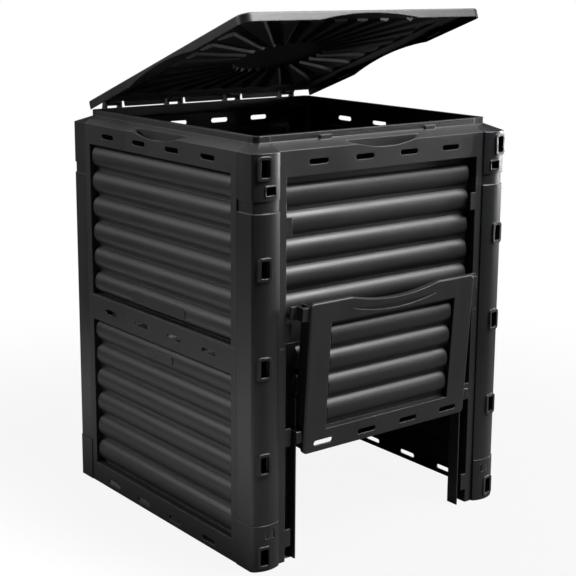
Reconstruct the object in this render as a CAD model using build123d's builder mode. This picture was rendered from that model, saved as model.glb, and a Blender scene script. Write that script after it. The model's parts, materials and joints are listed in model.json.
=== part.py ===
from build123d import *
from math import cos, radians, sin, tan
import os

# A square garden compost bin in moulded plastic, millimetres, +Z up.
# The origin is the centre of the footprint on the ground, and the hatch side faces -Y.

# --- Driving dimensions: the body -------------------------------------------------------
WIDTH = 620                 # over the flat faces of opposite walls
HALF = WIDTH / 2
WALL = 3                    # moulded thickness of every panel
SPLIT_Z = 410               # seam between lower and upper panels
SHOULDER_Z = 765            # where the faces end and the shoulder starts
SHOULDER_TOP_Z = 778
RIM_Z = 790                 # top of the rim that the lid closes over
RIM_INSET = 26              # rim's outer face, in from the wall face
RIM_WIDTH = 10
RIM_SKIRT_Z = 772           # lower edge of the rim's inner leg

# --- Wall panels: side walls tuck behind the posts' flat strips, front and back walls
# --- behind the posts' rounded fronts
SIDE_SEAM = 264             # half width of a side panel
SIDE_RECESS = 246           # half width of its corrugated recess
FRONT_SEAM = 252
FRONT_RECESS = 235
TONGUE = 16                 # part of a panel that lies behind the post
TOP_BAND_Z = 725            # lower edge of the flat band under the shoulder
MID_BAND_Z = 360            # lower edge of the band on top of a lower panel
BOTTOM_BAND_Z = 43
RECESS = 16                 # depth of the side recess
CREST_RISE = 13
CREST_HEIGHT = 46
CREST_PITCH = 52.5
CREST_DRAFT = 33            # degrees, the slope of a crest's long sides
CREST_END_DRAFT = 8
CREST_CORNER = 8
CREST_CROWN = 23            # radius between a crest's crown and its long sides
CREST_CROWN_INNER = 18      # the same on the hollow side
CREST_MARGIN = 2            # from a recess wall to the first crest
CREST_END_GAP = 3           # from a recess wall to the ends of the crests
UPPER_PLATE = (190, 22)     # blank name plates on the left wall
LOWER_PLATE = (100, 20)
PLATE_RISE = 1.5
FRONT_RECESS_DEPTH = 23     # deeper, because the hatch slides in front
FRONT_CREST_RISE = 11
FRONT_CREST_PITCH = 50.25
FRONT_FIRST_CREST_Z = 682
FRONT_CREST_HEIGHT = 42
FRONT_TOP_BAND_Z = 718
FRONT_CREST_HALF = 228
SLOT_LENGTH = 45
SLOT_HEIGHT = 10
SIDE_SLOTS = (-175, -58, 58, 175)
FRONT_SLOTS = (-163, -54.5, 54.5, 163)
BAY_WIDTH = 214             # finger bay under the lid's grip
BAY_LOW_Z = 756
CATCH_X = 129               # small catches on the front rim
CATCH_HALF = 13
BAY_SET = 14                # depth of the pocket behind the bay
BAY_FLOOR_Z = 751
POCKET_MARGIN = 12          # the pocket stops short of the crescent's tips

# --- Hatch opening in the lower front panel ---------------------------------------------
JAMB_FIN = 210              # inner face of the guide fin
FIN_THICKNESS = 2.5
OPENING_TOP_Z = 304
KEEPER_Z = (45, 240, 437, 630)
KEEPER_HEIGHT = 34
KEEPER_REACH = 13           # how far a keeper covers the groove
KEEPER_THICKNESS = 4
KEEPER_HOLE_INSET = 5       # the mould's opening behind a keeper, in from its height

# --- Corner posts ------------------------------------------------------------------------
POST_WALL = 4
POST_BULGE = 9.5            # rounded front, proud of the wall face
POST_EDGE = 3               # bevel between the flat strip and the rounded front
BULGE_X = -281
CHORD_Y = -HALF - 3         # where the rounded front meets the front panel
POST_LIP = 2                # hooked end of the rounded front, behind the panel's tongue
TONGUE_GAP = 0.2            # between a tongue and the post's inner leaf
WEB = SIDE_SEAM + TONGUE + POST_WALL
FOOT_FLARE = 1.5
NECK_INSET = 2.5
FOOT_Z = 88
NECK_LOW_Z = 660
CAP_Z = 682
WINDOW_X = 289              # raised clip windows on the rounded front
WINDOW_HEIGHT = 42
WINDOW_WIDTH = 28
WINDOW_FRAME = 5.5
WINDOW_RISE = 2.5
WINDOW_DEPTH = 6
WINDOW_TURN = 9.8           # degrees, the rounded front's slope at the windows
PORT_X = 277                # small square ports beside them
PORT_WIDTH = 20
PORT_HEIGHT = 15
PORT_FRAME = 2.5
PORT_RISE = 0.8
PORT_DEPTH = 14
FOOT_WINDOW_Z = 27
POST_WINDOW_Z = (204, 383, 562)
CAP_WINDOW_Z = 739
FOOT_PORT_Z = 69
CAP_PORT_Z = 699
RIM_CORNER = 8              # bevel of the rim and shoulder where they turn the corner

# --- Hatch: it hangs raised, its top leaning out -------------------------------------------
HATCH_TILT = 3.9            # degrees
HATCH_HALF = 205
HATCH_HEIGHT = 288
HATCH_LOW_Y = -325
HATCH_LOW_Z = 205
HATCH_DEPTH = 12            # how far the turned edge reaches back
HATCH_CORNER = 10
HATCH_EDGE = 3.5
HATCH_RECESS = 14
HATCH_FIRST_CREST = 73      # up the hatch's face
HATCH_CREST_PITCH = 48
HATCH_CREST_HEIGHT = 42
HATCH_SLOTS = (-159, -53, 53, 159)
HATCH_SLOT_UP = 18
WINDOW_HALF = 155           # half width of the ribbed window
WINDOW_LOW = 42
WINDOW_HIGH = 248
GRIP_HALF = 110             # scoop in the top edge
GRIP_DIP = 15
GRIP_SLOT = (106, 267, 262, 253)    # half length, then heights of the tips, top and bottom
HOOK_LOW = 256              # upper hooks, up the hatch's face
HOOK_HIGH = 281
HOOK_REACH = 232            # how far the hooks and the shoes reach behind the keepers
HOOK_LEG = 215.5
HOOK_LEG_OUT = 219
HOOK_DEPTH = 18             # from the pivot line back to the far side of a hook
HOOK_THICKNESS = 4
SHOE_HALF_HEIGHT = 12
SHOE_THICKNESS = 9
FLANGE_DEPTH = 27
FLANGE_INSET = 6
FLANGE_TOP = 5
PIVOT_Y = -318
PIVOT_Z = 240
PIVOT_RADIUS = 4

# --- Lid: it stands part open ----------------------------------------------------------------
LID_OPEN = 20               # degrees
HINGE_Y = 292
HINGE_Z = 800
LID_HALF = 290
LID_FRONT = 582             # from the hinge axis to the front edge
LID_BACK = 8                # from the hinge axis to the back edge
LID_SKIRT = 14
LID_CORNER = 22
LID_CENTRE = (LID_FRONT + LID_BACK) / 2
LID_LENGTH = LID_FRONT - LID_BACK
DISH_HALF = 245             # half side of the raised middle
DISH_DEPTH = 5
FIELD_HALF = 235            # half side of the fluted field
PAD_DROP = HINGE_Z - RIM_Z - 0.3
FLAP_SET = 5
FLAP_DEPTH = 10
FLUTES = 28
FLUTE_START = 95
FLUTE_RISE = 6
FLUTE_SPREAD = 0.075        # half width of a flute per distance from the middle
FLUTE_DRAFT = 40            # degrees
PAD_HALF = 20
FLAP_HALF = 50
GRIP_NOTCH = 240
GRIP_NOTCH_RISE = 11
HINGE_X = (-228, -76, 76, 228)
PIN_RADIUS = 2.5
LUG_HALF = 14               # half width of a lid lug
LUG_GAP = 1
LUG_RADIUS = 6.5
EAR_THICKNESS = 5
EAR_RADIUS = 6

RUNNING = 0.05              # radial clearance of a turning fit

os.makedirs("parts", exist_ok=True)


def keep(part, name):
    """Label a finished piece and write its STEP file."""
    part.label = name
    export_step(part, f"parts/{name}.step")


def wall_plane(outward):
    """Plane on a wall's outer face: x to the right seen from outside, y up, z outwards."""
    normal = Vector(*outward)
    across = Vector(0, 0, 1).cross(normal)
    return Plane(origin=normal * HALF, x_dir=across, z_dir=normal)


def section_plane(outward):
    """Plane across a wall at its middle: x is the depth behind the outer face, y is up."""
    normal = Vector(*outward)
    inward = normal * -1
    return Plane(origin=normal * HALF, x_dir=inward, z_dir=inward.cross(Vector(0, 0, 1)))


FRONT = (0, -1, 0)
BACK = (0, 1, 0)
LEFT = (-1, 0, 0)
RIGHT = (1, 0, 0)


def crest(half_length, height, rise, round_over):
    """One moulded corrugation: drafted long sides, a rounded crown and steep ends."""
    crown = height / 2 - rise * tan(radians(CREST_DRAFT))
    with BuildPart() as mound:
        with BuildSketch(Plane.YZ) as section:
            with BuildLine():
                Polyline((-height / 2, 0), (-crown, rise), (crown, rise), (height / 2, 0),
                         close=True)
            make_face()
            fillet(section.vertices().group_by(Axis.Y)[-1], round_over)
        extrude(amount=half_length, both=True)
        with BuildSketch():
            RectangleRounded(2 * half_length, height, CREST_CORNER)
        extrude(amount=rise, taper=CREST_END_DRAFT, mode=Mode.INTERSECT)
    return mound.part


def corrugate(face, depth, rise, heights, half_length, crest_height):
    """Add a row of crests on a recess floor and hollow them from behind."""
    outer = crest(half_length, crest_height, rise, CREST_CROWN)
    inner = crest(half_length - WALL, crest_height - 2 * WALL, rise, CREST_CROWN_INNER)
    floor = face.offset(-depth)
    back = face.offset(-depth - WALL)
    with Locations(*[floor * Pos(0, z, 0) for z in heights]):
        add(outer)
    with Locations(*[back * Pos(0, z, 0) for z in heights]):
        add(inner, mode=Mode.SUBTRACT)


def plate(face, x_low, x_high, z_low, z_high, depth_low, depth_high, mode=Mode.ADD):
    """A flat slab lying between two depths behind a wall face."""
    with BuildSketch(face.offset(-depth_low)) as slab:
        with Locations(((x_low + x_high) / 2, (z_low + z_high) / 2)):
            Rectangle(x_high - x_low, z_high - z_low)
    extrude(slab.sketch, amount=depth_low - depth_high, mode=mode)


def framed_recess(face, half, recess_half, low, high, recess_low, recess_high, depth):
    """The flat frame of a panel, its recess walls, floor and the tongues at its sides."""
    plate(face, -half, half, low, high, 0, WALL)
    plate(face, -recess_half - WALL, recess_half + WALL, recess_low - WALL,
          recess_high + WALL, 0, depth + WALL)
    plate(face, -recess_half, recess_half, recess_low, recess_high, 0, depth, Mode.SUBTRACT)
    side_tongues(face, half, low, high)


def side_tongues(face, half, low, high):
    """Edge tongues that lie behind the posts."""
    for side in (-1, 1):
        root = sorted((side * (half - WALL), side * half))
        tip = sorted((side * half, side * (half + TONGUE)))
        plate(face, *root, low, high, 0, POST_WALL + WALL)
        plate(face, *tip, low, high, POST_WALL, POST_WALL + WALL)


def slots(face, places, z):
    """A row of ventilation slots through a band."""
    with BuildSketch(face) as row:
        with Locations(*[(x, z) for x in places]):
            SlotOverall(SLOT_LENGTH, SLOT_HEIGHT)
    extrude(row.sketch, amount=-WALL, mode=Mode.SUBTRACT)


def shoulder_and_rim(outward, half):
    """The sloping shoulder and the hollow rim along the top of an upper panel."""
    slope = (SHOULDER_TOP_Z - SHOULDER_Z) / RIM_INSET
    inner = RIM_INSET + RIM_WIDTH
    with BuildSketch(section_plane(outward)) as section:
        with BuildLine():
            Polyline(
                (0, SHOULDER_Z),
                (RIM_INSET, SHOULDER_TOP_Z),
                (RIM_INSET, RIM_Z),
                (inner, RIM_Z),
                (inner, RIM_SKIRT_Z),
                (inner - WALL, RIM_SKIRT_Z),
                (inner - WALL, RIM_Z - WALL),
                (RIM_INSET + WALL, RIM_Z - WALL),
                (RIM_INSET + WALL, SHOULDER_Z + slope * (RIM_INSET + WALL) - WALL),
                (0, SHOULDER_Z - WALL),
                close=True,
            )
        make_face()
    extrude(section.sketch, amount=half, both=True)


def finger_bay(outward):
    """Scoop a crescent out of the face and the shoulder, with a shallow pocket behind it."""
    face = wall_plane(outward)
    drop = SHOULDER_TOP_Z - BAY_LOW_Z
    radius = ((BAY_WIDTH / 2) ** 2 + drop**2) / (2 * drop)
    with BuildSketch(face) as crescent:
        with Locations((0, BAY_LOW_Z + radius)):
            Circle(radius)
        with Locations((0, SHOULDER_TOP_Z - drop / 2)):
            Rectangle(WIDTH, drop, mode=Mode.INTERSECT)
    extrude(crescent.sketch, amount=-BAY_SET, mode=Mode.SUBTRACT)
    reach = BAY_WIDTH / 2 - POCKET_MARGIN
    top = SHOULDER_Z + (SHOULDER_TOP_Z - SHOULDER_Z) / RIM_INSET * BAY_SET
    plate(face, -reach, reach, BAY_FLOOR_Z, top, BAY_SET, BAY_SET + WALL)
    plate(face, -reach, reach, BAY_FLOOR_Z, BAY_FLOOR_Z + WALL, 0, BAY_SET + WALL)


def name_plate(face, z, size):
    """A blank raised plate on a crest."""
    with BuildSketch(face.offset(-RECESS + CREST_RISE - WALL)) as blank:
        with Locations((0, z)):
            SlotOverall(*size)
    extrude(blank.sketch, amount=WALL + PLATE_RISE)


def upper_side_panel(outward, half, recess_half, places, blank, bay):
    """Upper wall panel with corrugations, a slotted band, a shoulder and a rim."""
    face = wall_plane(outward)
    first = TOP_BAND_Z - CREST_MARGIN - CREST_HEIGHT / 2
    heights = [first - CREST_PITCH * i for i in range(6)]
    with BuildPart() as panel:
        framed_recess(face, half, recess_half, SPLIT_Z, SHOULDER_Z, SPLIT_Z + WALL,
                      TOP_BAND_Z, RECESS)
        corrugate(face, RECESS, CREST_RISE, heights, recess_half - CREST_END_GAP,
                  CREST_HEIGHT)
        slots(face, places, (TOP_BAND_Z + SHOULDER_Z) / 2)
        shoulder_and_rim(outward, half)
        if bay:
            finger_bay(outward)
        if blank:
            name_plate(face, heights[-1], UPPER_PLATE)
    return panel


def lower_side_panel(outward, half, recess_half, places, blank):
    """Lower wall panel with a slotted band above and below its corrugations."""
    face = wall_plane(outward)
    first = MID_BAND_Z - CREST_MARGIN - CREST_HEIGHT / 2
    heights = [first - CREST_PITCH * i for i in range(6)]
    with BuildPart() as panel:
        framed_recess(face, half, recess_half, 0, SPLIT_Z, BOTTOM_BAND_Z, MID_BAND_Z, RECESS)
        corrugate(face, RECESS, CREST_RISE, heights, recess_half - CREST_END_GAP,
                  CREST_HEIGHT)
        slots(face, places, (MID_BAND_Z + SPLIT_Z) / 2)
        slots(face, places, BOTTOM_BAND_Z / 3)
        if blank:
            name_plate(face, heights[0], LOWER_PLATE)
    return panel


# --- Side and back walls ---------------------------------------------------------------------
left_upper = upper_side_panel(LEFT, SIDE_SEAM, SIDE_RECESS, SIDE_SLOTS, True, True)
left_lower = lower_side_panel(LEFT, SIDE_SEAM, SIDE_RECESS, SIDE_SLOTS, True)
right_upper = upper_side_panel(RIGHT, SIDE_SEAM, SIDE_RECESS, SIDE_SLOTS, False, True)
right_lower = lower_side_panel(RIGHT, SIDE_SEAM, SIDE_RECESS, SIDE_SLOTS, False)
back_lower = lower_side_panel(BACK, FRONT_SEAM, FRONT_RECESS, FRONT_SLOTS, False)
back_upper = upper_side_panel(BACK, FRONT_SEAM, FRONT_RECESS, FRONT_SLOTS, False, False)


with BuildPart() as hinge_ears:
    for x in HINGE_X:
        for side in (-1, 1):
            with BuildSketch(Plane.YZ.offset(x + side * (LUG_HALF + LUG_GAP))) as ear:
                with BuildLine():
                    Polyline(
                        (HINGE_Y - EAR_RADIUS, SHOULDER_TOP_Z - 3),
                        (HINGE_Y - EAR_RADIUS, HINGE_Z),
                        (HINGE_Y + EAR_RADIUS, HINGE_Z),
                        (HINGE_Y + 14, SHOULDER_Z + 1),
                        close=True,
                    )
                make_face()
                with Locations((HINGE_Y, HINGE_Z)):
                    Circle(EAR_RADIUS)
                    Circle(PIN_RADIUS, mode=Mode.SUBTRACT)
            extrude(amount=side * EAR_THICKNESS)

with BuildPart() as back_upper_eared:
    add(back_upper.part)
    add(hinge_ears.part)

with BuildPart() as hinge_pins:
    for x in HINGE_X:
        reach = LUG_HALF + LUG_GAP + EAR_THICKNESS
        with BuildSketch(Plane.YZ.offset(x - reach)):
            with Locations((HINGE_Y, HINGE_Z)):
                Circle(PIN_RADIUS)
        extrude(amount=2 * reach)

keep(left_upper.part, "left_upper_panel")
keep(left_lower.part, "left_lower_panel")
keep(right_upper.part, "right_upper_panel")
keep(right_lower.part, "right_lower_panel")
keep(back_upper_eared.part, "back_upper_panel")
keep(back_lower.part, "back_lower_panel")
keep(hinge_pins.part, "hinge_pins")

# --- Front wall --------------------------------------------------------------------------------
front_face = wall_plane(FRONT)
front_crests = [FRONT_FIRST_CREST_Z - FRONT_CREST_PITCH * i for i in range(8)]


def keepers(face, heights, hole_inner, hole_outer):
    """Tabs that reach over the hatch groove, with the mould's openings behind them."""
    floor = FRONT_RECESS_DEPTH
    for z in heights:
        low, high = z - KEEPER_HEIGHT / 2, z + KEEPER_HEIGHT / 2
        for side in (-1, 1):
            tab = sorted((side * (FRONT_RECESS - KEEPER_REACH), side * (FRONT_RECESS + WALL)))
            plate(face, *tab, low, high, 0, KEEPER_THICKNESS)
            hole = sorted((side * hole_inner, side * hole_outer))
            plate(face, *hole, low + KEEPER_HOLE_INSET, high - KEEPER_HOLE_INSET, floor - 1,
                  floor + WALL + 1, Mode.SUBTRACT)


with BuildPart() as front_upper:
    framed_recess(front_face, FRONT_SEAM, FRONT_RECESS, SPLIT_Z, SHOULDER_Z, SPLIT_Z + WALL,
                  FRONT_TOP_BAND_Z, FRONT_RECESS_DEPTH)
    plate(front_face, -FRONT_RECESS, FRONT_RECESS, SPLIT_Z, SPLIT_Z + WALL, 0,
          FRONT_RECESS_DEPTH, Mode.SUBTRACT)
    corrugate(front_face, FRONT_RECESS_DEPTH, FRONT_CREST_RISE, front_crests[:5],
              FRONT_CREST_HALF, FRONT_CREST_HEIGHT)
    slots(front_face, FRONT_SLOTS, (FRONT_TOP_BAND_Z + SHOULDER_Z) / 2)
    shoulder_and_rim(FRONT, FRONT_SEAM)
    finger_bay(FRONT)
    keepers(front_face, KEEPER_Z[2:], FRONT_CREST_HALF + 1, FRONT_RECESS - 1)
    for x in (-CATCH_X, CATCH_X):
        plate(front_face, x - CATCH_HALF, x + CATCH_HALF, SHOULDER_TOP_Z - 2, SHOULDER_TOP_Z + 6,
              RIM_INSET - 4, RIM_INSET + 1)
keep(front_upper.part, "front_upper_panel")

with BuildPart() as front_lower:
    floor = FRONT_RECESS_DEPTH
    wall_outer = FRONT_RECESS + WALL
    plate(front_face, -wall_outer, wall_outer, OPENING_TOP_Z, SPLIT_Z, floor, floor + WALL)
    for side in (-1, 1):
        stile = sorted((side * FRONT_RECESS, side * FRONT_SEAM))
        groove_wall = sorted((side * FRONT_RECESS, side * wall_outer))
        groove_floor = sorted((side * JAMB_FIN, side * wall_outer))
        fin = sorted((side * JAMB_FIN, side * (JAMB_FIN + FIN_THICKNESS)))
        plate(front_face, *stile, 0, SPLIT_Z, 0, WALL)
        plate(front_face, *groove_wall, 0, SPLIT_Z, 0, floor + WALL)
        plate(front_face, *groove_floor, 0, OPENING_TOP_Z, floor, floor + WALL)
        plate(front_face, *fin, 0, OPENING_TOP_Z + 6, 0, floor + WALL)
    side_tongues(front_face, FRONT_SEAM, 0, SPLIT_Z)
    corrugate(front_face, floor, FRONT_CREST_RISE, front_crests[6:], JAMB_FIN - 10,
              FRONT_CREST_HEIGHT)
    keepers(front_face, KEEPER_Z[:2], JAMB_FIN + FIN_THICKNESS + 3, FRONT_RECESS - 4)
keep(front_lower.part, "front_lower_panel")

# --- Corner posts: foot, middle and cap, stacked ------------------------------------------------


def post_section(z, inset=0):
    """Hollow section of a post, with the web that closes it on the inside."""
    inner = HALF - POST_WALL
    lip = -FRONT_SEAM - TONGUE
    leaf = inner - WALL - TONGUE_GAP
    leaf_inner = leaf - WALL
    with BuildSketch(Plane.XY.offset(z)) as section:
        with BuildLine():
            rounded_outline = Polyline(
                (-HALF + inset, -SIDE_SEAM),
                (-HALF + inset, -HALF + POST_EDGE),
                (-HALF + POST_EDGE + inset / 2, -HALF - 1 + inset),
            )
            ThreePointArc(
                rounded_outline @ 1,
                (BULGE_X, -HALF - POST_BULGE + inset),
                (-FRONT_SEAM, CHORD_Y + inset),
            )
            Polyline(
                (-FRONT_SEAM, CHORD_Y + inset),
                (-FRONT_SEAM, -inner),
                (lip + POST_LIP, -inner),
                (lip - POST_LIP, -HALF - POST_LIP),
            )
            ThreePointArc(
                (lip - POST_LIP, -HALF - POST_LIP),
                (BULGE_X - POST_WALL, -HALF - POST_BULGE + POST_WALL + inset),
                (-inner + POST_EDGE, -inner - POST_EDGE),
            )
            Polyline(
                (-inner + POST_EDGE, -inner - POST_EDGE),
                (-inner, -inner),
                (-inner, -SIDE_SEAM),
                (-HALF + inset, -SIDE_SEAM),
            )
        make_face()
        with BuildLine():
            Polyline(
                (-inner, -WEB - POST_WALL),
                (-inner, -WEB),
                (-WEB, -inner),
                (-WEB - POST_WALL, -inner),
                close=True,
            )
        make_face()
        middle = WEB + inner + POST_WALL / 2
        with BuildLine():
            Polyline(
                (-FRONT_SEAM, -leaf),
                (-FRONT_SEAM, -leaf_inner),
                (leaf_inner - middle, -leaf_inner),
                (leaf - middle, -leaf),
                close=True,
            )
        make_face()
        with BuildLine():
            Polyline(
                (-leaf, -SIDE_SEAM),
                (-leaf_inner, -SIDE_SEAM),
                (-leaf_inner, leaf_inner - middle),
                (-leaf, leaf - middle),
                close=True,
            )
        make_face()
    return section.sketch


def window_plane(x, z):
    """Plane on the rounded front, facing outwards at a clip window."""
    turn = radians(WINDOW_TURN)
    across = (cos(turn), -sin(turn), 0)
    out = (-sin(turn), -cos(turn), 0)
    return Plane(origin=(-x, -HALF - POST_BULGE + 0.6, z), x_dir=across, z_dir=out)


def clip_window(z):
    """A raised frame round a tall slot in the rounded front."""
    plane = window_plane(WINDOW_X, z)
    with BuildSketch(plane.offset(WINDOW_RISE)) as frame:
        RectangleRounded(WINDOW_WIDTH, WINDOW_HEIGHT, WINDOW_FRAME + 1.5)
    extrude(frame.sketch, amount=-WINDOW_DEPTH)
    with BuildSketch(plane.offset(WINDOW_RISE)) as slot:
        RectangleRounded(WINDOW_WIDTH - 2 * WINDOW_FRAME, WINDOW_HEIGHT - 2 * WINDOW_FRAME, 3)
    extrude(slot.sketch, amount=-WINDOW_DEPTH - 1, mode=Mode.SUBTRACT)


def port(z):
    """A small square port with a low frame, beside the clip windows."""
    front = -HALF - POST_BULGE
    outside = Plane(origin=(-PORT_X, front, z), x_dir=(1, 0, 0), z_dir=(0, -1, 0))
    with BuildSketch(outside.offset(PORT_RISE)) as frame:
        RectangleRounded(PORT_WIDTH + 2 * PORT_FRAME, PORT_HEIGHT + 2 * PORT_FRAME, 3)
    extrude(frame.sketch, amount=-PORT_RISE - POST_WALL)
    with BuildSketch(outside.offset(PORT_RISE)) as hole:
        RectangleRounded(PORT_WIDTH, PORT_HEIGHT, 2)
    extrude(hole.sketch, amount=-PORT_RISE - PORT_DEPTH, mode=Mode.SUBTRACT)


def cap_shoulder(drop):
    """Solid under the shoulder of a cap, down to the height of the wall faces."""
    rim = HALF - RIM_INSET
    with BuildPart() as block:
        with BuildSketch(Plane.XY.offset(SHOULDER_Z - drop)):
            with BuildLine():
                low = Polyline(
                    (-FRONT_SEAM, -SIDE_SEAM),
                    (-HALF, -SIDE_SEAM),
                    (-HALF, -HALF + POST_EDGE),
                    (-HALF + POST_EDGE, -HALF - 1),
                )
                ThreePointArc(low @ 1, (BULGE_X, -HALF - POST_BULGE), (-FRONT_SEAM, CHORD_Y))
                Line((-FRONT_SEAM, CHORD_Y), low @ 0)
            make_face()
        with BuildSketch(Plane.XY.offset(SHOULDER_TOP_Z - drop)):
            with BuildLine():
                high = Polyline(
                    (-FRONT_SEAM, -SIDE_SEAM),
                    (-rim, -SIDE_SEAM),
                    (-rim, -rim + RIM_CORNER),
                    (-rim + RIM_CORNER, -rim),
                )
                ThreePointArc(high @ 1, ((-rim + RIM_CORNER - FRONT_SEAM) / 2, -rim - 0.5),
                              (-FRONT_SEAM, -rim))
                Line((-FRONT_SEAM, -rim), high @ 0)
            make_face()
        loft(ruled=True)
    return block.part


with BuildPart() as foot:
    extrude(post_section(0, -FOOT_FLARE), amount=FOOT_Z)
    with BuildSketch(Plane.XY) as sole:
        with BuildLine():
            inner = HALF - POST_WALL
            Polyline((-inner, -WEB), (-inner, -inner), (-WEB, -inner), close=True)
        make_face()
    extrude(amount=WALL)
    clip_window(FOOT_WINDOW_Z)
    port(FOOT_PORT_Z)

with BuildPart() as middle:
    extrude(post_section(FOOT_Z), amount=NECK_LOW_Z - FOOT_Z)
    extrude(post_section(NECK_LOW_Z, NECK_INSET), amount=CAP_Z - NECK_LOW_Z)
    for z in POST_WINDOW_Z:
        clip_window(z)

shoulder_skin = cap_shoulder(0) - cap_shoulder(WALL)
with BuildPart() as cap:
    extrude(post_section(CAP_Z), amount=SHOULDER_Z - CAP_Z)
    add(shoulder_skin)
    with BuildSketch(Plane.XY.offset(SHOULDER_TOP_Z - WALL)):
        with BuildLine():
            outer = HALF - RIM_INSET
            inner_rim = outer - RIM_WIDTH
            Polyline(
                (-outer, -SIDE_SEAM),
                (-outer, -outer + RIM_CORNER),
                (-outer + RIM_CORNER, -outer),
                (-FRONT_SEAM, -outer),
                (-FRONT_SEAM, -inner_rim),
                (-inner_rim + 3, -inner_rim),
                (-inner_rim, -inner_rim + 3),
                (-inner_rim, -SIDE_SEAM),
                close=True,
            )
        make_face()
    extrude(amount=RIM_Z - SHOULDER_TOP_Z + WALL)
    clip_window(CAP_WINDOW_Z)
    port(CAP_PORT_Z)

CORNERS = {
    "front_left": [],
    "front_right": [Plane.YZ],
    "back_left": [Plane.XZ],
    "back_right": [Plane.YZ, Plane.XZ],
}
for corner, mirrors in CORNERS.items():
    for kind, piece in (("foot", foot.part), ("post", middle.part), ("cap", cap.part)):
        for about in mirrors:
            piece = piece.mirror(about)
        keep(piece, f"{corner}_{kind}")

# --- Hatch ---------------------------------------------------------------------------------------
lean = radians(HATCH_TILT)
hatch_face = Plane(origin=(0, HATCH_LOW_Y, HATCH_LOW_Z), x_dir=(1, 0, 0),
                   z_dir=(0, -cos(lean), -sin(lean)))
pivot = hatch_face.to_local_coords(Vector(0, PIVOT_Y, PIVOT_Z))
grip_radius = (GRIP_HALF**2 + GRIP_DIP**2) / (2 * GRIP_DIP)


def hatch_outline(plane, margin):
    """The hatch's face, scooped along its top edge, drawn in by a margin."""
    with BuildSketch(plane) as outline:
        with Locations((0, HATCH_HEIGHT / 2)):
            RectangleRounded(2 * (HATCH_HALF - margin), HATCH_HEIGHT - 2 * margin,
                             HATCH_CORNER - margin)
        with Locations((0, HATCH_HEIGHT - GRIP_DIP + grip_radius)):
            Circle(grip_radius + margin, mode=Mode.SUBTRACT)
    return outline.sketch


with BuildPart() as hatch:
    extrude(hatch_outline(hatch_face, 0), amount=-HATCH_DEPTH)
    front_edges = hatch.faces().sort_by(Axis.Y)[0].edges()
    fillet(front_edges, HATCH_EDGE)
    extrude(hatch_outline(hatch_face.offset(-WALL), WALL), amount=-HATCH_DEPTH,
            mode=Mode.SUBTRACT)
    for side in (-1, 1):
        flange = sorted((side * (HATCH_HALF - WALL), side * HATCH_HALF))
        plate(hatch_face, *flange, HATCH_CORNER, HATCH_HEIGHT - FLANGE_TOP, FLANGE_INSET,
              FLANGE_DEPTH)
    plate(hatch_face, -WINDOW_HALF - WALL, WINDOW_HALF + WALL, WINDOW_LOW - WALL,
          WINDOW_HIGH + WALL, 1, HATCH_RECESS + WALL)
    plate(hatch_face, -WINDOW_HALF, WINDOW_HALF, WINDOW_LOW, WINDOW_HIGH, 0, HATCH_RECESS,
          Mode.SUBTRACT)
    hatch_crests = [HATCH_FIRST_CREST + HATCH_CREST_PITCH * i for i in range(4)]
    corrugate(hatch_face, HATCH_RECESS, HATCH_RECESS - WALL, hatch_crests,
              WINDOW_HALF - CREST_END_GAP, HATCH_CREST_HEIGHT)
    slots(hatch_face, HATCH_SLOTS, HATCH_SLOT_UP)
    with BuildSketch(hatch_face) as finger_slot:
        with BuildLine():
            slot_half, tips, slot_top, slot_low = GRIP_SLOT
            ThreePointArc((-slot_half, tips), (0, slot_top), (slot_half, tips))
            ThreePointArc((-slot_half, tips), (0, slot_low), (slot_half, tips))
        make_face()
    extrude(finger_slot.sketch, amount=-WALL, mode=Mode.SUBTRACT)
    for side in (-1, 1):
        arm = sorted((side * (HATCH_HALF - 1), side * HOOK_LEG_OUT))
        leg = sorted((side * HOOK_LEG, side * HOOK_LEG_OUT))
        hook = sorted((side * HOOK_LEG, side * HOOK_REACH))
        depth = -pivot.Z
        plate(hatch_face, *arm, HOOK_LOW, HOOK_HIGH, depth - HOOK_THICKNESS,
              depth + HOOK_THICKNESS)
        plate(hatch_face, *leg, HOOK_LOW, HOOK_HIGH, depth, depth + HOOK_DEPTH)
        plate(hatch_face, *hook, HOOK_LOW, HOOK_HIGH, depth + HOOK_DEPTH - HOOK_THICKNESS,
              depth + HOOK_DEPTH)
    with BuildSketch(Plane.YZ) as pivot_bore:
        with Locations((PIVOT_Y, PIVOT_Z)):
            Circle(PIVOT_RADIUS + RUNNING)
    extrude(pivot_bore.sketch, amount=HALF, both=True, mode=Mode.SUBTRACT)
keep(hatch.part, "hatch")

for side, name in ((-1, "left"), (1, "right")):
    outer_face = side * (HATCH_HALF + 1)
    with BuildPart() as shoe:
        with BuildSketch(Plane.YZ.offset(outer_face)) as arm:
            with Locations((PIVOT_Y, PIVOT_Z)):
                RectangleRounded(SHOE_THICKNESS, 2 * SHOE_HALF_HEIGHT, 3)
        extrude(amount=side * (HOOK_LEG_OUT - HATCH_HALF - 1))
        with BuildSketch(Plane.YZ.offset(side * (HATCH_HALF - 8))) as pin:
            with Locations((PIVOT_Y, PIVOT_Z)):
                Circle(PIVOT_RADIUS)
        extrude(amount=side * 10)
        with BuildSketch(Plane.XZ.offset(-PIVOT_Y)) as leg:
            with Locations((side * (HOOK_LEG + HOOK_LEG_OUT) / 2, PIVOT_Z)):
                Rectangle(HOOK_LEG_OUT - HOOK_LEG, 2 * SHOE_HALF_HEIGHT)
        extrude(amount=-HOOK_DEPTH)
        with BuildSketch(Plane.XZ.offset(-PIVOT_Y - HOOK_DEPTH + HOOK_THICKNESS)) as foot_pad:
            with Locations((side * (HOOK_LEG + HOOK_REACH) / 2, PIVOT_Z)):
                Rectangle(HOOK_REACH - HOOK_LEG, 2 * SHOE_HALF_HEIGHT)
        extrude(amount=-HOOK_THICKNESS)
    keep(shoe.part, f"hatch_shoe_{name}")

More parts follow.
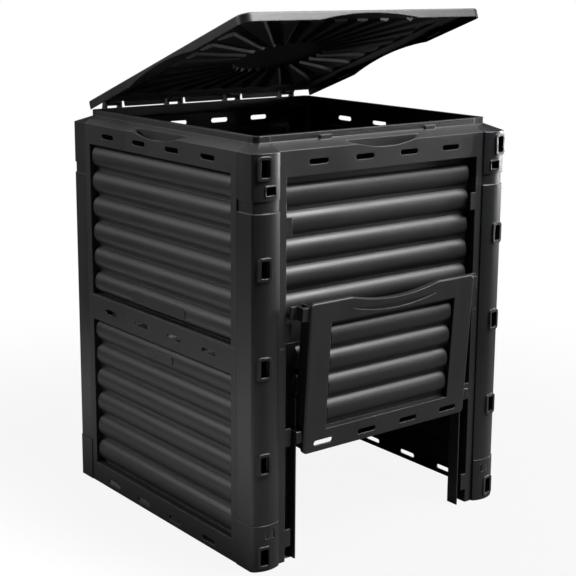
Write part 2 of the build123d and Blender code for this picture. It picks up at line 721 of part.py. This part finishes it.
# --- Lid -------------------------------------------------------------------------------------------
opened = radians(LID_OPEN)
lid_top = Plane(origin=(0, HINGE_Y, HINGE_Z), x_dir=(1, 0, 0), z_dir=(0, sin(opened), cos(opened)))
lid_under = Plane(origin=lid_top.origin, x_dir=(1, 0, 0), z_dir=lid_top.z_dir * -1)


def flute(angle):
    """One tapering ridge that runs from the middle of the lid to the edge of its field."""
    turn = radians(angle)
    length = FIELD_HALF / max(abs(cos(turn)), abs(sin(turn)))
    start = FLUTE_START * FLUTE_SPREAD
    end = length * FLUTE_SPREAD
    with BuildPart() as ridge:
        with BuildSketch():
            with BuildLine():
                Polyline((FLUTE_START, -start), (length, -end), (length, end),
                         (FLUTE_START, start), close=True)
            make_face()
        extrude(amount=FLUTE_RISE, taper=FLUTE_DRAFT)
        fillet(ridge.faces().sort_by(Axis.Z)[-1].edges().group_by(SortBy.LENGTH)[-1], 4)
    return ridge.part


def grip_notch(plane):
    """Crescent taken out of the skirt's lower edge, in a plane across that skirt."""
    radius = ((GRIP_NOTCH / 2) ** 2 + GRIP_NOTCH_RISE**2) / (2 * GRIP_NOTCH_RISE)
    with BuildSketch(plane) as notch:
        with Locations((0, -LID_SKIRT + GRIP_NOTCH_RISE - radius)):
            Circle(radius)
    extrude(notch.sketch, amount=30, both=True, mode=Mode.SUBTRACT)


def lid_slab(x_low, x_high, y_low, y_high, z_low, z_high, mode=Mode.ADD):
    """A block in the lid's own frame, whose origin is the hinge axis."""
    plate(lid_top, x_low, x_high, y_low, y_high, -z_high, -z_low, mode)


with BuildPart() as lid:
    with BuildSketch(lid_top.offset(-LID_SKIRT)) as lid_outline:
        with Locations((0, -LID_CENTRE)):
            Rectangle(2 * LID_HALF, LID_LENGTH)
        fillet(lid_outline.vertices().group_by(Axis.Y)[0], LID_CORNER)
        fillet(lid_outline.vertices().group_by(Axis.Y)[-1], 8)
    extrude(amount=LID_SKIRT + WALL)
    top_face = lid.faces().sort_by(Axis(lid_top.origin, lid_top.z_dir))[-1]
    fillet(top_face.edges(), 2.5)
    with BuildSketch(lid_top.offset(WALL)):
        with Locations((0, -LID_CENTRE)):
            RectangleRounded(2 * DISH_HALF, 2 * DISH_HALF, 40)
    extrude(amount=DISH_DEPTH, taper=45)
    with BuildSketch(lid_top.offset(-LID_SKIRT)) as lid_hollow:
        with Locations((0, -LID_CENTRE + WALL / 2)):
            Rectangle(2 * (LID_HALF - WALL), LID_LENGTH - WALL)
        fillet(lid_hollow.vertices().group_by(Axis.Y)[0], LID_CORNER - WALL)
    extrude(amount=LID_SKIRT, mode=Mode.SUBTRACT)
    with BuildSketch(lid_top):
        with Locations((0, -LID_CENTRE)):
            RectangleRounded(2 * DISH_HALF - 2, 2 * DISH_HALF - 2, 39)
    extrude(amount=DISH_DEPTH, taper=45, mode=Mode.SUBTRACT)

    # fluted field on the underside of the raised middle
    for index in range(FLUTES):
        angle = 360 / FLUTES * (index + 0.5)
        with Locations(lid_under.offset(-DISH_DEPTH) * Pos(0, LID_CENTRE, 0) * Rot(0, 0, angle)):
            add(flute(angle))

    # pads that meet the rim, and flaps between the hinges
    for x in (-1, 1):
        for y in (-450, -150):
            side_pad = sorted((x * 276, x * 283))
            lid_slab(*side_pad, y - PAD_HALF, y + PAD_HALF, -PAD_DROP, 0)
        lid_slab(x * 150 - PAD_HALF, x * 150 + PAD_HALF, -575, -568, -PAD_DROP, 0)
    for x in (-152, 0, 152):
        lid_slab(x - FLAP_HALF, x + FLAP_HALF, -LID_BACK - 1, -LID_BACK + FLAP_SET, 0, WALL)
        lid_slab(x - FLAP_HALF, x + FLAP_HALF, -LID_BACK + FLAP_SET - WALL,
                 -LID_BACK + FLAP_SET, -FLAP_DEPTH, WALL)

    for x in HINGE_X:
        lug_plane = Plane(origin=(x - LUG_HALF, HINGE_Y, HINGE_Z), x_dir=lid_top.y_dir,
                          z_dir=(1, 0, 0))
        with BuildSketch(lug_plane):
            with BuildLine():
                Polyline((-16, WALL), (0, LUG_RADIUS), (0, -LUG_RADIUS), (-16, -4), close=True)
            make_face()
            Circle(LUG_RADIUS)
            Circle(PIN_RADIUS + RUNNING, mode=Mode.SUBTRACT)
        extrude(amount=2 * LUG_HALF)

    side_skirt = Plane(origin=lid_top.origin - lid_top.y_dir * LID_CENTRE, x_dir=lid_top.y_dir,
                       z_dir=(1, 0, 0))
    front_skirt = Plane(origin=lid_top.origin - lid_top.y_dir * LID_FRONT, x_dir=(1, 0, 0),
                        z_dir=lid_top.y_dir * -1)
    grip_notch(side_skirt.offset(LID_HALF))
    grip_notch(side_skirt.offset(-LID_HALF))
    grip_notch(front_skirt)
keep(lid.part, "lid")
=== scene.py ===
import json
from math import radians

import bmesh
import bpy
from mathutils import Matrix, Vector

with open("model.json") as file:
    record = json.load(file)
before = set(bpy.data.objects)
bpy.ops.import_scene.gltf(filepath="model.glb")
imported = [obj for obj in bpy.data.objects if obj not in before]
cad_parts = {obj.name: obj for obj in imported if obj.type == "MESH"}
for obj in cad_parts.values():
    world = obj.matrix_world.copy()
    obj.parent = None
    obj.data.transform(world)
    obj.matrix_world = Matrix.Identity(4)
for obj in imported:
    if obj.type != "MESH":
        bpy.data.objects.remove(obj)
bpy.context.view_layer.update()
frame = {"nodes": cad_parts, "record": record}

# Lengths are in metres, light powers in watts.

# --- Camera: an 83 mm lens on a 36 mm sensor, 1.07 m up, left of the front left corner -----------
EYE = Vector((-1.6393, -2.1129, 1.0699))
YAW = radians(37.982)       # from +Y towards +X
PITCH = radians(11.782)     # downwards
ROLL = radians(0.377)
FOCAL_MM = 82.92
SENSOR_MM = 36
SHIFT_Y = -0.0694

# --- Floor ---------------------------------------------------------------------------------------
FLOOR_RADIUS = 1.7
FADE_START = 0.4            # share of the radius where the floor starts to fade into the white
FLOOR_SHADOW = 0.1          # how much of the floor's shading the camera sees
FLOOR_ROUGHNESS = 0.9
FLOOR_SPECULAR = 0.1
FLOOR_LEFT = (-0.75, 0.6)   # X and tone: pale on the left, so that it lights the left wall
# X and tone where the floor turns dark: painted shade under the bin, which also dims the light the
# floor bounces back
FLOOR_PAINTED_SHADE = (-0.3, 0.1)
# In this strip the camera sees the floor whole: real shading inside the bin, deepened by the
# floor's painted-dark tone as painted shade
SHADE_STRIP_X = (-0.255, 0.05)    # middle and reach of the ground seen through the left wall's low slots
SHADE_STRIP_Y = (0.0, 0.3)

# --- Light ---------------------------------------------------------------------------------------
FILL_COLOR = (0.95, 0.97, 1, 1)
FILL_BEARINGS = ((0.72, -0.69, 0.0), (-0.62, 0.78, 0.0))    # front right and back left
FILL_EDGE = 0.5             # cosine from a bearing at which its brighter zone ends
FILL_DIM = 0.003
FILL_BRIGHT = 0.14
BIN_MIDDLE = (0, 0, 0.45)
OPEN_LID = (0, 0, 0.95)
SOFT_BOXES = (              # name, place, target, size, power
    ("overhead", (-0.3, 0.5, 3.2), BIN_MIDDLE, (2.6, 2.0), 110),
    ("front_right", (1.2, -1.8, 3.1), BIN_MIDDLE, (2.2, 1.6), 370),
    ("right_low", (2.4, -0.5, 0.75), OPEN_LID, (0.9, 0.4), 60),
    ("left_back", (-2.2, 1.4, 2.0), BIN_MIDDLE, (1.4, 1.6), 55),
)

# --- Plastic -------------------------------------------------------------------------------------
# Lighter edge colour: a painted highlight along the arrises, partly also scuffed wear
HIGHLIT_WORN_EDGE = (0.04, 0.041, 0.043, 1)
SPECULAR = 0.42
EDGE_RADIUS = 0.0022
EDGE_SAMPLES = 4
EDGE_COSINES = (0.97, 0.75)     # between rounded and flat normal: no lighter edge, full lighter edge (painted highlight with scuffed wear)
GRAIN_DEPTH = 0.0006
GRAIN = 0.12
FINE_GRAIN = 0.05
STREAK_STRETCH = (1, 1, 0.06)   # flow streaks run upright
BODY_TONES = ((0.0042, 0.0044, 0.0048), (0.0078, 0.008, 0.0088))
DARKER_TONES = ((0.0032, 0.0033, 0.0036), (0.0062, 0.0064, 0.007))
PIN_TONES = ((0.003, 0.003, 0.0033), (0.005, 0.005, 0.0055))
PLASTICS = {                    # dark and light tone, roughness, depth of grain
    "wall_plastic": (BODY_TONES, 0.44, GRAIN),
    "post_plastic": (BODY_TONES, 0.34, GRAIN),
    "lid_plastic": (DARKER_TONES, 0.38, GRAIN),
    "hatch_plastic": (DARKER_TONES, 0.44, GRAIN),
    "pin_plastic": (PIN_TONES, 0.3, FINE_GRAIN),
}


class Nodes:
    """Adds and links the shader nodes of a material or of the surroundings."""

    def __init__(self, owner):
        owner.use_nodes = True
        self.tree = owner.node_tree

    def put(self, value, socket):
        """Link value to socket, or store it there if it is a constant."""
        if isinstance(value, bpy.types.NodeSocket):
            self.tree.links.new(value, socket)
        else:
            socket.default_value = value

    def add(self, kind, settings=None, **inputs):
        """A new node. Underscores in the names of its inputs stand for spaces."""
        node = self.tree.nodes.new(kind)
        for key, value in (settings or {}).items():
            setattr(node, key, value)
        for key, value in inputs.items():
            self.put(value, node.inputs[key.replace("_", " ")])
        return node

    def operate(self, kind, operation, values):
        node = self.add(kind, {"operation": operation})
        for value, socket in zip(values, node.inputs):
            self.put(value, socket)
        return node

    def math(self, operation, *values):
        return self.operate("ShaderNodeMath", operation, values).outputs["Value"]

    def vector_math(self, operation, *vectors):
        return self.operate("ShaderNodeVectorMath", operation, vectors).outputs["Value"]

    def span(self, value, low, high, out_low, out_high, kind="LINEAR"):
        """value carried from low..high to out_low..out_high, and held at the ends."""
        node = self.add("ShaderNodeMapRange", {"interpolation_type": kind, "clamp": True},
                        Value=value, From_Min=low, From_Max=high, To_Min=out_low, To_Max=out_high)
        return node.outputs["Result"]

    def noise(self, place, scale, detail=4.0, roughness=0.55):
        node = self.add("ShaderNodeTexNoise", Vector=place, Scale=scale, Detail=detail,
                        Roughness=roughness)
        return node.outputs["Fac"]

    def mix_colors(self, factor, first, second):
        node = self.add("ShaderNodeMix", {"data_type": "RGBA"})
        for value, index in ((factor, 0), (first, 6), (second, 7)):
            self.put(value, node.inputs[index])
        return node.outputs[2]


def place_camera():
    data = bpy.data.cameras.new("camera")
    data.lens = FOCAL_MM
    data.sensor_width = SENSOR_MM
    data.shift_y = SHIFT_Y
    camera = bpy.data.objects.new("camera", data)
    camera.location = EYE
    level = Matrix.Rotation(-YAW, 3, "Z") @ Matrix.Rotation(radians(90) - PITCH, 3, "X")
    camera.rotation_euler = (level @ Matrix.Rotation(ROLL, 3, "Z")).to_euler()
    bpy.context.scene.collection.objects.link(camera)
    bpy.context.scene.camera = camera


def floor_material():
    """Pale on the left, painted dark under and right of the bin as shade, and see-through towards
    its rim.
    """
    material = bpy.data.materials.new("floor")
    n = Nodes(material)
    place = n.add("ShaderNodeTexCoord").outputs["Object"]
    axes = n.add("ShaderNodeSeparateXYZ", Vector=place).outputs
    # Floor tone: pale on the left to light the left wall, painted dark as shade from the bin's
    # left wall rightwards.
    tone = n.span(axes["X"], FLOOR_LEFT[0], FLOOR_PAINTED_SHADE[0], FLOOR_LEFT[1], FLOOR_PAINTED_SHADE[1],
                  "SMOOTHSTEP")
    fade = n.span(n.vector_math("LENGTH", place), FADE_START * FLOOR_RADIUS, FLOOR_RADIUS,
                  1.0, 0.0, "SMOOTHSTEP")
    rays = n.add("ShaderNodeLightPath")
    seen = n.span(rays.outputs["Is Camera Ray"], 0.0, 1.0, 1.0, FLOOR_SHADOW)
    # Camera sees the floor fully in the strip, showing its painted-shade dark tone through the
    # slots.
    in_shade_strip = n.math("MULTIPLY", n.math("COMPARE", axes["X"], *SHADE_STRIP_X),
                      n.math("COMPARE", axes["Y"], *SHADE_STRIP_Y))
    solid = n.math("MULTIPLY", fade, n.math("MAXIMUM", seen, in_shade_strip))
    shader = n.tree.nodes["Principled BSDF"]
    for name, value in (("Base Color", tone), ("Roughness", FLOOR_ROUGHNESS),
                        ("Specular IOR Level", FLOOR_SPECULAR), ("Alpha", solid)):
        n.put(value, shader.inputs[name])
    return material


def stage_floor():
    """A round floor under the bin, which fades into the white surroundings."""
    mesh = bpy.data.meshes.new("floor")
    shape = bmesh.new()
    bmesh.ops.create_circle(shape, cap_ends=True, segments=96, radius=FLOOR_RADIUS)
    shape.to_mesh(mesh)
    shape.free()
    mesh.materials.append(floor_material())
    floor = bpy.data.objects.new("floor", mesh)
    bpy.context.scene.collection.objects.link(floor)


def soft_box(name, place, target, size, power):
    """A rectangular area light at place, turned towards target."""
    data = bpy.data.lights.new(name, "AREA")
    data.shape = "RECTANGLE"
    data.size, data.size_y = size
    data.energy = power
    light = bpy.data.objects.new(name, data)
    light.location = place
    light.rotation_euler = (Vector(target) - Vector(place)).to_track_quat("-Z", "Y").to_euler()
    bpy.context.scene.collection.objects.link(light)


def surround():
    """White for the camera. The bin gets a dim fill, brighter towards two bearings."""
    world = bpy.data.worlds.new("room")
    n = Nodes(world)
    direction = n.add("ShaderNodeTexCoord").outputs["Generated"]
    zones = [n.span(n.vector_math("DOT_PRODUCT", direction, bearing), FILL_EDGE, 1.0,
                    FILL_DIM, FILL_BRIGHT, "SMOOTHSTEP") for bearing in FILL_BEARINGS]
    fill = n.add("ShaderNodeBackground", Color=FILL_COLOR, Strength=n.math("ADD", *zones))
    white = n.tree.nodes["Background"]
    white.inputs["Color"].default_value = (1, 1, 1, 1)
    white.inputs["Strength"].default_value = 1.0
    mix = n.add("ShaderNodeMixShader")
    rays = n.add("ShaderNodeLightPath")
    for value, socket in zip((rays.outputs["Is Camera Ray"], fill.outputs[0], white.outputs[0]),
                             mix.inputs):
        n.put(value, socket)
    n.put(mix.outputs[0], n.tree.nodes["World Output"].inputs["Surface"])
    bpy.context.scene.world = world
    bpy.context.scene.view_settings.view_transform = "Standard"


def moulded_plastic(name, tones, roughness, grain):
    """Black polypropylene: spark-eroded grain, flow streaks, and edges painted lighter as a
    highlight, patchy like scuffed wear.
    """
    material = bpy.data.materials.new(name)
    n = Nodes(material)
    place = n.add("ShaderNodeTexCoord").outputs["Object"]
    stretched = n.add("ShaderNodeMapping", Vector=place, Scale=STREAK_STRETCH).outputs["Vector"]
    cloud = n.noise(place, 5.0, 5.0)
    streak = n.noise(stretched, 60.0, 3.0)
    grit = n.noise(place, 900.0, 2.0, 0.6)
    pits = n.noise(place, 260.0, 3.0, 0.5)

    rounded = n.add("ShaderNodeBevel", {"samples": EDGE_SAMPLES},
                    Radius=EDGE_RADIUS).outputs["Normal"]
    flat = n.add("ShaderNodeNewGeometry").outputs["Normal"]
    # Edges painted lighter where the rounded normal departs from the flat one: a painted edge
    # highlight, broken into patches like scuffed wear.
    edge = n.span(n.vector_math("DOT_PRODUCT", rounded, flat), *EDGE_COSINES, 0.0, 1.0)
    patchy = n.span(n.noise(place, 40.0), 0.35, 0.65, 0.15, 0.8)
    edge_highlight_and_wear = n.math("MULTIPLY", edge, patchy)

    tone = n.math("ADD", n.math("MULTIPLY", cloud, 0.6), n.math("MULTIPLY", streak, 0.4))
    tone = n.span(tone, 0.3, 0.7, 0.0, 1.0)
    dark, light = tones
    body = n.mix_colors(tone, (*dark, 1), (*light, 1))

    rough = n.span(n.math("ADD", cloud, n.math("MULTIPLY", streak, 0.5)), 0.45, 1.05,
                   roughness - 0.06, roughness + 0.08)
    rough = n.math("ADD", rough, n.math("MULTIPLY", grit, 0.05))
    height = n.math("ADD", n.math("MULTIPLY", grit, 0.5), n.math("MULTIPLY", pits, 0.5))
    bump = n.add("ShaderNodeBump", Strength=grain, Distance=GRAIN_DEPTH, Height=height,
                 Normal=rounded)
    shader = n.tree.nodes["Principled BSDF"]
    for socket, value in (("Base Color", n.mix_colors(edge_highlight_and_wear, body, HIGHLIT_WORN_EDGE)),
                          ("Roughness", rough), ("Specular IOR Level", SPECULAR),
                          ("Normal", bump.outputs["Normal"])):
        n.put(value, shader.inputs[socket])
    return material


place_camera()
stage_floor()
surround()
for box in SOFT_BOXES:
    soft_box(*box)

skins = {name: moulded_plastic(name, *look) for name, look in PLASTICS.items()}
for part in frame["record"]["subparts"]:
    node = frame["nodes"][part["node"]]
    node.data.materials.clear()
    node.data.materials.append(skins[part["material_slot"]])
